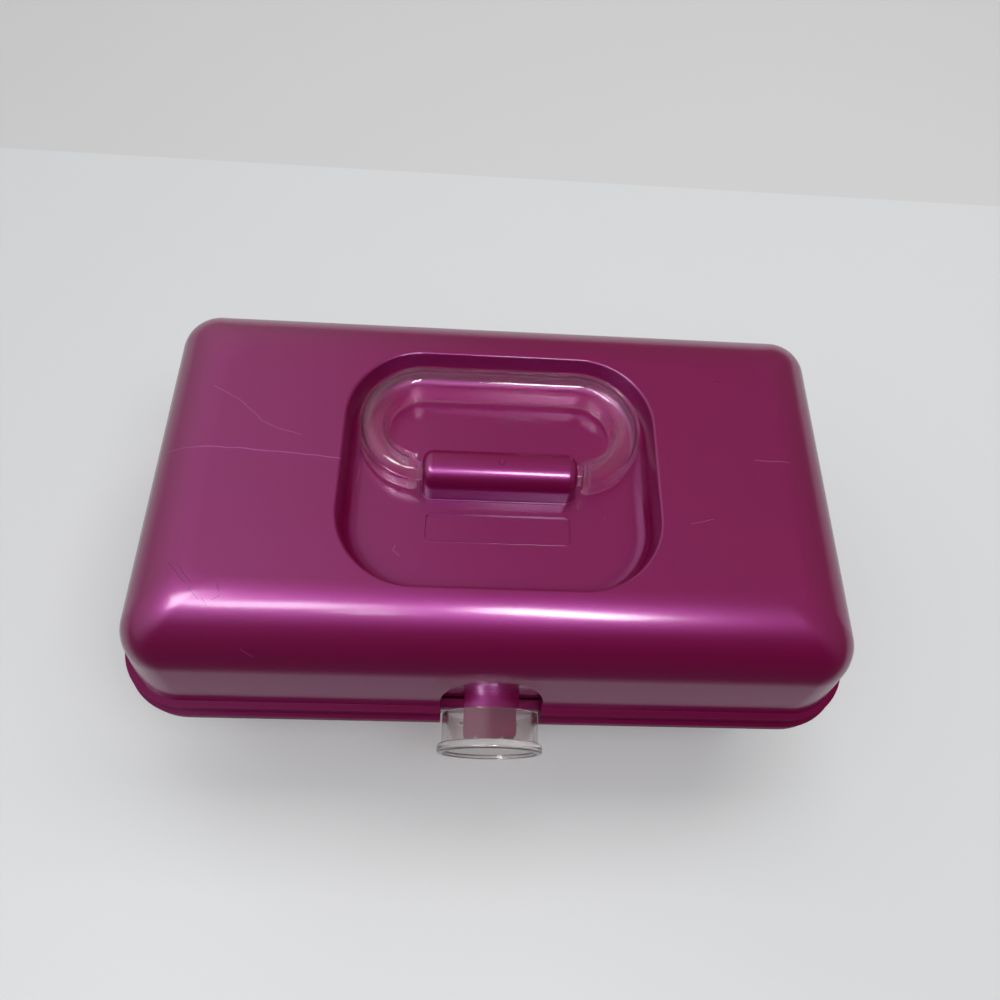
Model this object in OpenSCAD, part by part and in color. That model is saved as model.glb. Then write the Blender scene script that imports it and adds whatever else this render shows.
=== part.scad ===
// Makeup storage case with a lift lid, a folding clear handle in a recess, a clear
// round front latch, and a tray that two pairs of side arms carry up and back.
// Millimetres. X to the right, Y to the back, Z up, origin under the middle of the base.

/* [Case] */
// Width of the lid wall at its foot
case_w = 280; // [256:1:320]
// Depth of the lid wall at its foot
case_d = 162; // [156:1:190]
// Plan radius of the lid's corners
corner_r = 22.4; // [20:0.2:28]
// Wall of the lid
lid_wall = 2.4; // [2:0.1:3]
// Wall of the base
base_wall = 2.6; // [2:0.1:3.2]
// Gap between the lid and the base when shut
shut_gap = 0.2; // [0.1:0.05:0.4]

/* [Base] */
// Height of the base up to the parting plane
base_h = 68; // [64:1:90]
// Distance that the base wall stands in from the lid wall
base_inset = 1.1; // [0.8:0.1:2]
// Draft of the base wall in degrees
base_draft = 7; // [4:0.5:8]
// Edge radius round the bottom of the base
base_edge_r = 13; // [8:0.5:14]
// Height of the rim round the base
rim_h = 5; // [4:0.5:6]
// Distance that the rim stands out from the lid wall
rim_out = 4.3; // [3.8:0.1:5.5]
// Height of the locating lip above the parting plane
lip_h = 2; // [1:0.25:3]
// Thickness of the locating lip
lip_t = 1.6; // [1.2:0.1:2]

/* [Lid] */
// Height of the lid above the parting plane
lid_h = 56; // [54:1:66]
// Radius of the soft edge round the top
lid_edge_r = 29.6; // [24:0.2:31]
// Draft of the lid wall in degrees
lid_draft = 12; // [8:0.5:13]
// Height of the lid's bottom flange
flange_h = 8; // [6:0.5:9]
// Distance that the flange stands out from the lid wall
flange_out = 2.6; // [1.6:0.1:3.4]

/* [Handle recess] */
// Gap between each side of the handle and the recess at the top of the lid
recess_side = 3.4; // [2.7:0.1:7]
// Gap between the back of the grip and the recess at the top of the lid
recess_gap = 2.4; // [1.9:0.1:6]
// Plan radius of the recess corners
recess_r = 29.2; // [27:0.2:31]
// How far the recess floor lies below the top of the lid
recess_depth = 15.8; // [15.6:0.1:17.5]
// Draft of the recess wall in degrees
recess_draft = 5; // [3:0.5:6]
// Radius between the recess wall and its floor
recess_floor_r = 5; // [3:0.25:5.5]

/* [Handle barrel] */
// Radius of the barrel
barrel_r = 8.1; // [7.7:0.1:8.6]
// Radius of the barrel's rounded ends
barrel_end_r = 4; // [2:0.25:5]
// Depth of the pin's seat in each end of the barrel
barrel_end_wall = 4; // [3:0.25:6]
// How far the pivot axis lies below the top of the lid
pivot_drop = 8; // [7.9:0.05:8.2]
// Distance of the blank raised pad's ends inside the barrel's ends
pad_in = 1.75; // [0:0.25:12]
// Depth of the pad
pad_d = 11.4; // [6:0.2:14]
// Height of the pad
pad_h = 0.9; // [0.4:0.1:1.2]
// Distance from the barrel's axis to the middle of the pad
pad_y = 20; // [17:0.25:24]

/* [Handle] */
// Width of the handle over its arms
handle_w = 111.6; // [106:0.2:112.5]
// Distance from the pivot axis to the middle of the grip
grip_reach = 40.1; // [36:0.1:40.5]
// Width of the grip's section
grip_w = 12; // [10:0.25:12.6]
// Height of the grip's section
grip_h = 12; // [10.5:0.25:12.25]
// How far the grip's crown stands above the pivot axis
grip_rise = 6.9; // [6.4:0.1:7.1]
// Wall of the handle's channel
grip_wall = 2.2; // [1.6:0.1:2.6]
// Distance of the handle's ends outside the centres of its half circles
handle_end = 1.75; // [1:0.25:4]
// Gap between each end of the barrel and the handle
handle_gap = 2; // [0.6:0.1:2.6]
// Radius of the handle's pivot pins
handle_pin_r = 3.75; // [3:0.05:4]
// Reach of the pins into the barrel
handle_pin_in = 3.8; // [3:0.1:5.5]
// Radial clearance of the pins
pin_clear = 0.07; // [0.03:0.01:0.1]

/* [Latch] */
// Radius of the latch drum
drum_r = 18.8; // [18:0.1:19.4]
// Wall of the drum
drum_wall = 2; // [1.6:0.1:2.2]
// Length of the drum behind its face disc
drum_l = 11.2; // [10.5:0.1:13]
// Radius of the face disc
disc_r = 20.5; // [20:0.1:22]
// Thickness of the face disc
disc_t = 3.5; // [3:0.1:4.5]
// Depth of the dish in the face
dish_t = 0.8; // [0.4:0.1:1.2]
// Width of the ring round the dish
dish_ring = 2.2; // [1.2:0.1:3]
// Gap between the lid wall's foot and the back of the drum
drum_gap = 1.8; // [1.6:0.1:2.4]
// Height of the pivot below the parting plane
latch_drop = 14.5; // [14:0.1:15]
// Distance from the back of the drum to the pivot
latch_pivot_in = 2.2; // [2:0.1:2.6]
// Radius of the latch pin
latch_pin_r = 1.2; // [1:0.05:1.4]
// Radius round the pivot of the lugs and the hinge eye
latch_eye_r = 2.8; // [2.6:0.05:3]
// Width of the hinge eye on the base
latch_eye_w = 8; // [6:0.25:8.5]
// Thickness of each lug
lug_t = 2.5; // [2:0.1:2.7]
// Side clearance between the eye and the lugs
lug_gap = 0.3; // [0.2:0.05:0.4]
// Width of the post and of the keeper behind the drum
post_w = 21; // [16:0.5:22]
// Height of the pocket's straight sides above the parting plane
pocket_h = 12.5; // [11:0.5:14]
// Clearance round the drum in the pocket
pocket_clear = 0.8; // [0.7:0.1:1.2]
// Thickness of the keeper that the drum snaps over
keeper_t = 2.5; // [2:0.1:3]

/* [Hinge] */
// Distance of the hinge axis behind the lid wall's foot
hinge_out = 8.4; // [8.4:0.1:9.4]
// Drop of the hinge axis below the parting plane
hinge_drop = 2; // [1.5:0.1:2.2]
// Distance of each hinge from the middle of the case
hinge_x = 75; // [45:1:90]
// Radius of the knuckles
knuckle_r = 4; // [3.6:0.1:4.1]
// Width of the lid's knuckle
lid_knuckle_w = 18; // [12:0.5:24]
// Width of each base knuckle
base_knuckle_w = 10; // [7:0.5:14]
// Gap between knuckles
knuckle_gap = 0.4; // [0.3:0.05:0.6]
// Radius of the hinge pins
hinge_pin_r = 1.5; // [1.2:0.05:1.8]

/* [Mirror] */
// Distance from the lid wall's foot to each side of the mirror glass
mirror_side = 45; // [43:0.5:60]
// Distance from the lid wall's foot to the front and the back of the glass
mirror_end = 31; // [30:0.5:41]
// Thickness of the glass
mirror_t = 2; // [1.5:0.1:2.2]
// Width of the frame's border
frame_b = 8; // [7:0.5:9]
// Thickness of the frame's front lip
frame_lip = 1.5; // [1:0.1:2]
// Width of that lip over the glass
frame_over = 2; // [1:0.25:3]
// Distance of the frame's face below the top of the lid
mirror_drop = 24.5; // [24:0.25:26]
// Thickness of the foam behind the glass
foam_t = 1; // [0.6:0.1:1.2]
// Radius of the screw shanks
screw_r = 1.4; // [1.1:0.05:1.6]
// Length of the screw shanks
screw_l = 10; // [8:0.5:13]

/* [Tray] */
// Distance from the lid wall's foot to each side of the tray
tray_side = 13.5; // [13.25:0.25:25]
// Room between the back of the tray and the lid wall's foot
tray_back = 53; // [50:0.5:73]
// Height of the tray
tray_h = 27; // [22:0.5:29]
// Wall of the tray
tray_wall = 1.8; // [1.4:0.1:2.4]
// Plan radius of the tray's corners
tray_r = 14; // [8:0.5:18]
// Gap between the front of the tray and the lid wall's foot
tray_front = 9; // [8.5:0.25:12]
// Drop of the tray's rim below the parting plane
tray_drop = 1; // [0.75:0.25:3]
// Share of the tray's depth that its front row takes
row_share = 0.36; // [0.3:0.01:0.5]
// Number of cups in the tray's back row
cups = 5; // [3:1:7]

/* [Arms] */
// Distance from the lid wall's foot to the rear arms' pivots on the base
arm_back = 18.1; // [16:0.1:22]
// Slope of the arms at rest in degrees
arm_rest = 10; // [9:0.25:11]
// Width of the arms
arm_w = 7; // [6:0.25:7.5]
// Thickness of the arms
arm_t = 2; // [1.4:0.1:2.2]
// Distance between the front and the rear arm's pivots
arm_pitch = 52; // [48:0.5:56]
// Distance of the tray's front pivot behind its front wall
arm_front = 14; // [10:0.5:18]
// Height of the tray's pivots above its bottom
arm_up = 13; // [11:0.5:16]
// Gap between the tray's side wall and the arms
arm_gap = 1.5; // [1.3:0.1:1.8]
// Radius of the rivets
rivet_r = 2; // [1.6:0.05:2.2]
// Radius of the rivet heads
rivet_head_r = 3.4; // [2.8:0.1:3.6]
// Thickness of the rivet heads
rivet_head_t = 0.9; // [0.6:0.1:1]

/* [Dividers] */
// Share of the case's width between the base dividers
divider_share = 0.33; // [0.2:0.01:0.6]
// Thickness of the base dividers
divider_t = 1.8; // [1.4:0.1:2.4]
// Height of the base dividers
divider_h = 32; // [20:0.5:34]
// Depth of the ribs that guide a divider
guide_d = 4; // [3:0.25:6]
// Thickness of those ribs
guide_t = 1.4; // [1:0.1:2]
// Share of the tray's width between the tray dividers
tray_share = 0.348; // [0.2:0.002:0.6]
// Clearance of a divider in its guides
slot_clear = 0.25; // [0.15:0.05:0.35]

/* [Hidden] */
$fn = 96;
eps = 0.01;
zp = base_h;                       // parting plane
top_z = zp + lid_h;                // top of the lid
a = case_w / 2;                    // half width at the lid wall's foot
b = case_d / 2;                    // half depth at the lid wall's foot
ba = a - base_inset;               // the same of the base wall, under its rim
bb = b - base_inset;
br = corner_r - base_inset;
pink = [0.56, 0.10, 0.36];
deep = [0.48, 0.07, 0.30];
clear = [0.86, 0.84, 0.88, 0.45];
steel = [0.72, 0.73, 0.75];
// barrel and handle
pivot_z = top_z - pivot_drop;
floor_z = top_z - recess_depth;
arc_r = grip_reach / 2;
arc_x = handle_w / 2 - arc_r - grip_w / 2;
end_x = arc_x + handle_end;
barrel_l = 2 * (end_x - handle_gap);
pad_w = barrel_l - 2 * pad_in;
recess_w = handle_w + 2 * recess_side;
recess_d = 2 * (grip_reach + grip_w / 2 + recess_gap);
// latch, in the YZ plane
drum_y = -b - drum_gap;            // back of the drum
disc_y = drum_y - drum_l;          // back of the face disc
face_y = disc_y - disc_t;
latch_y = drum_y - latch_pivot_in; // pivot
latch_z = zp - latch_drop;
pocket_r = drum_r + pocket_clear;
pocket_y = -b + 5;                 // floor of the pocket
keeper_r = drum_r - drum_wall - 0.5;
// hinge
hinge_y = b + hinge_out;
hinge_z = zp - hinge_drop;
bore_clear = 0.06;
seat_clear = 0.02;
pin_l = lid_knuckle_w + 2 * (knuckle_gap + base_knuckle_w);
// mirror
frame_z = lid_h - mirror_drop;
mirror_w = case_w - 2 * mirror_side;
mirror_d = case_d - 2 * mirror_end;
frame_w = mirror_w - 2 * frame_over + 2 * (frame_b + frame_over);
frame_d = mirror_d - 2 * frame_over + 2 * (frame_b + frame_over);
glass_gap = 0.2;
frame_t = frame_lip + mirror_t + foam_t;
boss_z = zp + frame_z + frame_t;
screw_x = frame_w / 2 - frame_b / 2;
screw_y = frame_d / 2 - frame_b / 2;
// tray and arms
tray_w = case_w - 2 * tray_side;
tray_d = case_d - tray_front - tray_back;
divider_x = case_w * divider_share / 2;
tray_divider_x = tray_w * tray_share / 2;
tray_y0 = -b + tray_front;
tray_z1 = zp - tray_drop;
tray_z0 = tray_z1 - tray_h;
tray_draft = 3;
arm_x = tray_w / 2 + arm_gap;
tray_pivots = [for (k = [0, 1]) [tray_y0 + arm_front + k * arm_pitch, tray_z0 + arm_up]];
arm_l = (b - arm_back - tray_pivots[1][0]) / cos(arm_rest);
base_pivots = [for (p = tray_pivots) p + arm_l * [cos(arm_rest), -sin(arm_rest)]];

// half width of the base's inside at height z
function base_in(half, z) = half - base_wall - max(0, zp - rim_h - z) * tan(base_draft);

// profile of a cushion: upright to z0, drafted by dr, then an edge of radius r up to h
module edge_profile(w, z0, h, r, dr, in) {
  cx = w + (z0 - h + r) * tan(dr) - r / cos(dr);
  m = min(in, cx - 1);
  t = r - 0.0003;                    // the drafted side ends just inside the edge's circle
  polygon([[m, 0], [w, 0], [w, z0], [cx + t * cos(dr), h - r + t * sin(dr)],
           [cx, h - r], [cx, h], [m, h]]);
  intersection() {
    translate([cx, h - r]) circle(r);
    translate([cx - eps, h - r]) square(r + 1);
  }
}

// a closed cushion on z = 0: half sizes p and q, corner radius rc at its foot
module cushion(p, q, rc, z0, h, r, dr) {
  difference() {
    intersection() {
      rotate([90, 0, 0]) linear_extrude(2 * q, center = true) for (s = [0, 1]) mirror([s, 0])
        translate([p - rc, 0]) edge_profile(rc, z0, h, r, dr, rc - p - 1);
      rotate([90, 0, 90]) linear_extrude(2 * p, center = true) for (s = [0, 1]) mirror([s, 0])
        translate([q - rc, 0]) edge_profile(rc, z0, h, r, dr, rc - q - 1);
    }
    for (x = [-1, 1], y = [-1, 1]) translate([x * p, y * q, h / 2])
      cube([2 * rc, 2 * rc, h + 2], center = true);
  }
  for (i = [0 : 3])
    translate([(i == 0 || i == 3 ? 1 : -1) * (p - rc), (i < 2 ? 1 : -1) * (q - rc), 0])
      rotate(90 * i) rotate_extrude(angle = 90) intersection() {
        edge_profile(rc, z0, h, r, dr, -1);
        square([rc + 1, h + 1]);
      }
}

// flat rounded rectangle, half sizes p and q
module plate(p, q, r) {
  square([2 * p, 2 * (q - r)], center = true);
  square([2 * (p - r), 2 * q], center = true);
  for (x = [-1, 1], y = [-1, 1]) translate([x * (p - r), y * (q - r)]) circle(r);
}

module slab(p, q, r, z0, z1) translate([0, 0, z0]) linear_extrude(z1 - z0) plate(p, q, r);

// cylinder along X from x0 to x1
module rod(r, x0, x1) translate([x0, 0, 0]) rotate([0, 90, 0]) cylinder(r = r, h = x1 - x0);

// ---------------------------------------------------------------- base

module base_knuckles() for (s = [-1, 1], t = [-1, 1])
  translate([s * hinge_x + t * (lid_knuckle_w + base_knuckle_w + 2 * knuckle_gap) / 2, 0, 0])
    rotate([90, 0, 90]) linear_extrude(base_knuckle_w, center = true) {
      translate([hinge_y, hinge_z]) circle(knuckle_r);
      polygon([[b + flange_out - 1, zp - rim_h], [b + rim_out - 0.6, zp],
               [hinge_y, zp], [hinge_y + 0.3 * knuckle_r, hinge_z - 0.95 * knuckle_r],
               [b + flange_out, zp - rim_h - 4], [bb - 1, zp - rim_h - 6], [bb - 1, zp - rim_h]]);
    }

module base_latch_eye() {
  translate([0, latch_y, latch_z]) rod(latch_eye_r, -latch_eye_w / 2, latch_eye_w / 2);
  translate([-latch_eye_w / 2, latch_y, latch_z - 0.7 * latch_eye_r])
    cube([latch_eye_w, -bb + 2.2 - latch_y, latch_drop - 6.9 + 0.7 * latch_eye_r]);
  post_y0 = disc_y + 2.5;
  translate([0, 0, zp - 9.5]) linear_extrude(9.2) difference() {
    translate([0, (post_y0 - bb + 2) / 2]) plate(post_w / 2, (-bb + 2 - post_y0) / 2, 2);
    for (x = [-1, 1]) translate([x * post_w / 4, post_y0]) circle(1.1);
  }
}

module base_shell() color(pink) difference() {
  union() {
    difference() {
      union() {
        translate([0, 0, zp]) mirror([0, 0, 1])
          cushion(ba, bb, br, rim_h, zp, base_edge_r, base_draft);
        slab(a + rim_out, b + rim_out, corner_r + rim_out, zp - rim_h, zp);
        base_knuckles();
      }
      // inside
      translate([0, 0, zp + eps]) mirror([0, 0, 1])
        cushion(ba - base_wall, bb - base_wall, br - base_wall, rim_h + eps, zp - base_wall + eps,
                base_edge_r - base_wall, base_draft);
      // room for the drum in the rim
      translate([-pocket_r, -b - rim_out - 1, zp - rim_h - 1])
        cube([2 * pocket_r, rim_out + 1 + base_inset - 0.4, rim_h + 2]);
      // room for the lid's knuckles
      for (s = [-1, 1]) translate([s * hinge_x - lid_knuckle_w / 2 - knuckle_gap, 0, 0])
        translate([0, hinge_y, hinge_z]) rod(knuckle_r + 0.6, 0, lid_knuckle_w + 2 * knuckle_gap);
    }
    // locating lip
    difference() {
      slab(a - lid_wall - 0.5, b - lid_wall - 0.5, corner_r - lid_wall - 0.5,
           zp - rim_h - 4, zp + lip_h);
      slab(a - lid_wall - 0.5 - lip_t, b - lid_wall - 0.5 - lip_t,
           corner_r - lid_wall - 0.5 - lip_t, zp - rim_h - 5, zp + lip_h + 1);
      translate([-pocket_r - lid_wall - 0.4, -2 * b, zp])
        cube([2 * (pocket_r + lid_wall + 0.4), 2 * b, lip_h + 1]);
    }
    base_latch_eye();
    // bosses for the arms
    for (s = [0, 1]) mirror([s, 0, 0]) for (p = base_pivots)
      translate([0, p[0], p[1]])
        rod(rivet_head_r + 1, arm_x + arm_t + 0.2, base_in(ba, p[1]) + 0.2);
    // guide ribs for the dividers
    for (s = [-1, 1], t = [-1, 1], f = [-1, 1])
      translate([s * divider_x + t * (divider_t / 2 + slot_clear + guide_t / 2), 0, 0])
        rotate([90, 0, 90]) linear_extrude(guide_t, center = true)
          polygon([for (q = [[1, base_edge_r + 1], [1, divider_h + base_wall],
                             [-guide_d, divider_h + base_wall], [-guide_d, base_edge_r + 1]])
                   [f * (base_in(bb, q[1]) + q[0]), q[1]]]);
  }
  // bores
  for (s = [-1, 1]) translate([s * hinge_x, hinge_y, hinge_z])
    rod(hinge_pin_r + seat_clear, -pin_l / 2 - 1, pin_l / 2 + 1);
  translate([0, latch_y, latch_z])
    rod(latch_pin_r + bore_clear, -latch_eye_w / 2 - 1, latch_eye_w / 2 + 1);
  for (s = [0, 1]) mirror([s, 0, 0]) for (p = base_pivots)
    translate([0, p[0], p[1]])
      rod(rivet_r + seat_clear, arm_x + arm_t, base_in(ba, p[1]) + 0.4);
}

// divider across the base, cut to the section of the base's inside
module base_divider(s) color(deep)
  translate([s * divider_x, 0, 0]) rotate([90, 0, 90]) linear_extrude(divider_t, center = true) {
    z0 = base_wall + slot_clear;
    z1 = base_wall + divider_h;
    zk = base_edge_r + 1;
    in = slot_clear + 0.1;
    difference() {
      polygon([for (q = [[zk, 0], [z1, 0]]) [base_in(bb, q[0]) - in, q[0]],
               for (q = [[z1, 0], [zk, 0]]) [-base_in(bb, q[0]) + in, q[0]],
               [-base_in(bb, z0) + base_edge_r + in, z0],
               [base_in(bb, z0) - base_edge_r - in, z0]]);
      translate([0, z1]) circle(9);
    }
  }

module hinge_pin(s) color(steel)
  translate([s * hinge_x, hinge_y, hinge_z]) rod(hinge_pin_r, -pin_l / 2, pin_l / 2);

module rivet(x_head, x_in, x_out) {
  rod(rivet_r, min(x_in, x_out), max(x_in, x_out));
  rod(rivet_head_r, x_head, x_head + rivet_head_t);
}

module base_rivets() color(steel)
  for (s = [0, 1]) mirror([s, 0, 0]) for (p = base_pivots)
    translate([0, p[0], p[1]])
      rivet(arm_x - rivet_head_t - 0.05, arm_x - rivet_head_t, base_in(ba, p[1]) + 0.3);

// ---------------------------------------------------------------- lid

module slot_shape(r) {
  translate([0, zp + pocket_h]) circle(r);
  translate([-r, zp - 1]) square([2 * r, pocket_h + 1]);
}

// along Y from y0 to y1, drawn in X and Z
module along_y(y0, y1) translate([0, y1, 0]) rotate([90, 0, 0]) linear_extrude(y1 - y0) children();

module recess(grow) translate([0, 0, top_z + 1]) mirror([0, 0, 1])
  cushion(recess_w / 2 + grow, recess_d / 2 + grow, recess_r + grow, 1, recess_depth + 1 + grow,
          recess_floor_r + grow, recess_draft);

// the barrel: a half revolve on an upright plinth, inset by t for its hollow
module barrel(t, end, z0) {
  l = barrel_l / 2 - end;
  r = barrel_r - t;
  er = max(barrel_end_r - t, 0.6);
  translate([0, 0, pivot_z]) rotate([0, 90, 0]) rotate([0, 0, 90])
    rotate_extrude(angle = 180) intersection() {
      translate([0, -l]) square([r + 1, 2 * l]);
      plate(r, l, er);
    }
  slab(l, r, er, z0, pivot_z);
}

module lid_knuckles() for (s = [-1, 1]) translate([s * hinge_x, 0, 0])
  rotate([90, 0, 90]) linear_extrude(lid_knuckle_w, center = true) {
    translate([hinge_y, hinge_z]) circle(knuckle_r);
    polygon([[b, zp + shut_gap], [b, zp + flange_h], [b + flange_out + 1.2, zp + flange_h],
             [hinge_y + 0.707 * knuckle_r, hinge_z + 0.707 * knuckle_r], [hinge_y, hinge_z],
             [b + rim_out, zp + shut_gap]]);
  }

module lid_shell() color(pink) difference() {
  union() {
    difference() {
      union() {
        translate([0, 0, zp]) cushion(a, b, corner_r, flange_h, lid_h, lid_edge_r, lid_draft);
        slab(a + flange_out, b + flange_out, corner_r + flange_out, zp + shut_gap, zp + flange_h);
        lid_knuckles();
      }
      // inside, with the recess, the pocket and the mirror's bosses left standing in it
      difference() {
        translate([0, 0, zp - eps])
          cushion(a - lid_wall, b - lid_wall, corner_r - lid_wall, flange_h + eps,
                  lid_h - lid_wall + eps, lid_edge_r - lid_wall, lid_draft);
        recess(lid_wall);
        along_y(-b, pocket_y + lid_wall - 0.2) slot_shape(pocket_r + lid_wall - 0.2);
        for (x = [-1, 1], y = [-1, 1]) translate([x * screw_x, y * screw_y, boss_z])
          cylinder(r = screw_r + 2, h = lid_h);
      }
      recess(0);
      along_y(-b - flange_out - 1, pocket_y) slot_shape(pocket_r);
      translate([-2 * a, -2 * b, zp - 2]) cube([4 * a, 2 * b + b, 2 + shut_gap]);
    }
    // barrel with its foot, and the blank pad
    barrel(0, 0, floor_z - lid_wall);
    slab(barrel_l / 2 + 0.9, barrel_r + 0.9, barrel_end_r + 0.9, floor_z - 1, floor_z + 0.6);
    translate([0, -pad_y, 0]) slab(pad_w / 2, pad_d / 2, 2, floor_z - 1, floor_z + pad_h);
    // keeper that the drum snaps over
    intersection() {
      along_y(drum_y + 0.4, pocket_y + 1) difference() {
        translate([0, zp]) circle(keeper_r);
        translate([0, zp]) circle(keeper_r - keeper_t);
      }
      translate([-post_w / 2, -2 * b, zp]) cube([post_w, 2 * b, 2 * drum_r]);
    }
  }
  // hollow of the barrel, open to the inside
  barrel(lid_wall, barrel_end_wall, floor_z - lid_wall - 1);
  // bores
  translate([0, 0, pivot_z])
    rod(handle_pin_r + pin_clear, -barrel_l / 2 - 1, barrel_l / 2 + 1);
  for (s = [-1, 1]) translate([s * hinge_x, hinge_y, hinge_z])
    rod(hinge_pin_r + bore_clear, -lid_knuckle_w / 2 - 1, lid_knuckle_w / 2 + 1);
  for (x = [-1, 1], y = [-1, 1]) translate([x * screw_x, y * screw_y, boss_z - 1])
    cylinder(r = screw_r + seat_clear, h = screw_l - frame_t + 2);
}

// ---------------------------------------------------------------- mirror

module mirror_frame() color(deep) difference() {
  slab(frame_w / 2, frame_d / 2, 8, zp + frame_z, boss_z);
  slab(mirror_w / 2 - frame_over, mirror_d / 2 - frame_over, 4, zp + frame_z - 1, boss_z + 1);
  slab(mirror_w / 2 + glass_gap, mirror_d / 2 + glass_gap, 4, zp + frame_z + frame_lip, boss_z + 1);
  for (x = [-1, 1], y = [-1, 1]) translate([x * screw_x, y * screw_y, zp + frame_z - 1]) {
    cylinder(r = screw_r + 0.1, h = frame_t + 2);
    cylinder(r = 2 * screw_r + 0.2, h = 1.8);
  }
}

module mirror_glass() color([0.8, 0.85, 0.9])
  slab(mirror_w / 2, mirror_d / 2, 3.8, zp + frame_z + frame_lip, zp + frame_z + frame_lip + mirror_t);

module mirror_foam() color([0.25, 0.25, 0.27])
  slab(mirror_w / 2 - 3, mirror_d / 2 - 3, 3, boss_z - foam_t, boss_z);

module mirror_screws() color(steel)
  for (x = [-1, 1], y = [-1, 1]) translate([x * screw_x, y * screw_y, zp + frame_z]) difference() {
    union() {
      cylinder(r = screw_r, h = screw_l);
      cylinder(r = 2 * screw_r, h = 0.8);
    }
    for (q = [0, 90]) rotate(q) cube([2.4 * screw_r, 0.6, 0.8], center = true);
  }

// ---------------------------------------------------------------- handle

// section of the handle: a round-topped channel, x across and y up from the pivot axis
module grip_section(t, low) {
  r = grip_w / 2 - t;
  c = grip_rise - grip_w / 2;
  translate([0, c]) circle(r);
  translate([-r, grip_rise - grip_h - low]) square([2 * r, c - grip_rise + grip_h + low]);
}

module handle_path(t, low) {
  translate([0, grip_reach, 0]) rotate([90, 0, 90])
    linear_extrude(2 * arc_x, center = true) grip_section(t, low);
  for (s = [0, 1]) mirror([s, 0, 0]) translate([arc_x, arc_r, 0]) rotate(-90)
    rotate_extrude(angle = 180) translate([arc_r, 0]) grip_section(t, low);
}

module handle() color(clear) translate([0, 0, pivot_z]) {
  difference() {
    handle_path(0, 0);
    // the channel, open below, with solid ends
    difference() {
      handle_path(grip_wall, 1);
      for (s = [0, 1]) mirror([s, 0, 0])
        translate([0, -grip_w, -grip_w]) cube([end_x + 3, 2 * grip_w - 2, 2 * grip_w]);
    }
    // room for the barrel
    translate([-end_x, -grip_w, -grip_w]) cube([2 * end_x, 2 * grip_w, 2 * grip_w]);
    // ends turned down round the pivot axis
    for (s = [0, 1]) mirror([s, 0, 0]) {
      difference() {
        translate([end_x - 1, -2 * grip_w, -2 * grip_w]) cube([8, 3 * grip_w, 4 * grip_w]);
        translate([end_x - 1, 0, 0]) rotate([0, 90, 0])
          cylinder(r1 = grip_w / 2 - 0.1, r2 = grip_w / 2 + 4, h = 8);
      }
      difference() {
        translate([end_x - 2, -2 * grip_w, -2 * grip_w])
          cube([handle_w, 2 * grip_w, 2 * grip_w]);
        rod(recess_depth - pivot_drop - 0.5, end_x - 3, handle_w);
      }
    }
  }
  for (s = [0, 1]) mirror([s, 0, 0]) rod(handle_pin_r, barrel_l / 2 - handle_pin_in, end_x + 0.5);
}

// ---------------------------------------------------------------- latch

module latch_button() color(clear) difference() {
  union() {
    difference() {
      // drum and face disc, turned about the drum's axis
      translate([0, face_y, zp]) rotate([-90, 0, 0]) rotate_extrude() difference() {
        union() {
          square([drum_r, disc_t + drum_l]);
          square([disc_r - 1, disc_t]);
          translate([0, 1]) square([disc_r, disc_t - 2]);
          for (y = [1, disc_t - 1]) translate([disc_r - 1, y]) circle(1);
        }
        square([disc_r - dish_ring, dish_t]);
        translate([0, disc_t]) square([drum_r - drum_wall, drum_l + 1]);
      }
      // slot in the drum for the hinge eye
      translate([-latch_eye_w / 2 - lug_gap - lug_t - 0.5, drum_y - 7.5, zp - drum_r - 1])
        cube([latch_eye_w + 2 * (lug_gap + lug_t) + 1, 9, drum_r - 9]);
    }
    // lugs
    for (s = [0, 1]) mirror([s, 0, 0]) {
      translate([0, latch_y, latch_z])
        rod(latch_eye_r, latch_eye_w / 2 + lug_gap, latch_eye_w / 2 + lug_gap + lug_t);
      translate([latch_eye_w / 2 + lug_gap, disc_y - 0.5, latch_z - latch_eye_r])
        cube([lug_t, latch_y - disc_y + 0.5, 2 * latch_eye_r]);
    }
  }
  translate([0, latch_y, latch_z]) rod(latch_pin_r + seat_clear, -drum_r, drum_r);
}

module latch_pin() color(steel) translate([0, latch_y, latch_z])
  rod(latch_pin_r, -latch_eye_w / 2 - lug_gap - lug_t, latch_eye_w / 2 + lug_gap + lug_t);

// ---------------------------------------------------------------- tray and arms

module arm(side, k) color(deep) {
  p = base_pivots[k];
  q = tray_pivots[k];
  x0 = side < 0 ? -arm_x - arm_t : arm_x;
  translate([x0, 0, 0]) rotate([90, 0, 90]) linear_extrude(arm_t) difference() {
    translate(p) rotate(180 - arm_rest) {
      circle(arm_w / 2);
      translate([0, -arm_w / 2]) square([arm_l, arm_w]);
      translate([arm_l, 0]) circle(arm_w / 2);
    }
    translate(p) circle(rivet_r + bore_clear);
    translate(q) circle(rivet_r + bore_clear);
  }
}

module tray_rivets() color(steel)
  for (s = [0, 1]) mirror([s, 0, 0]) for (p = tray_pivots)
    translate([0, p[0], p[1]])
      rivet(arm_x + arm_t + 0.05, tray_w / 2 - tray_wall - 1, arm_x + arm_t + 0.1);

// pockets of the tray as [x0, x1, y0, y1] from the middle of the tray
row_y = tray_d * (row_share - 0.5);
inner_x = tray_w / 2 - 3.6;
inner_y = tray_d / 2 - 3.6;
cup_w = (2 * inner_x - (cups - 1) * tray_wall) / cups;
pockets = concat(
  [[-inner_x, inner_x, -inner_y, row_y - tray_wall / 2]],
  [for (i = [0 : cups - 1]) let (x = -inner_x + i * (cup_w + tray_wall))
    [x, x + cup_w, row_y + tray_wall / 2, inner_y]]);

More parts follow.
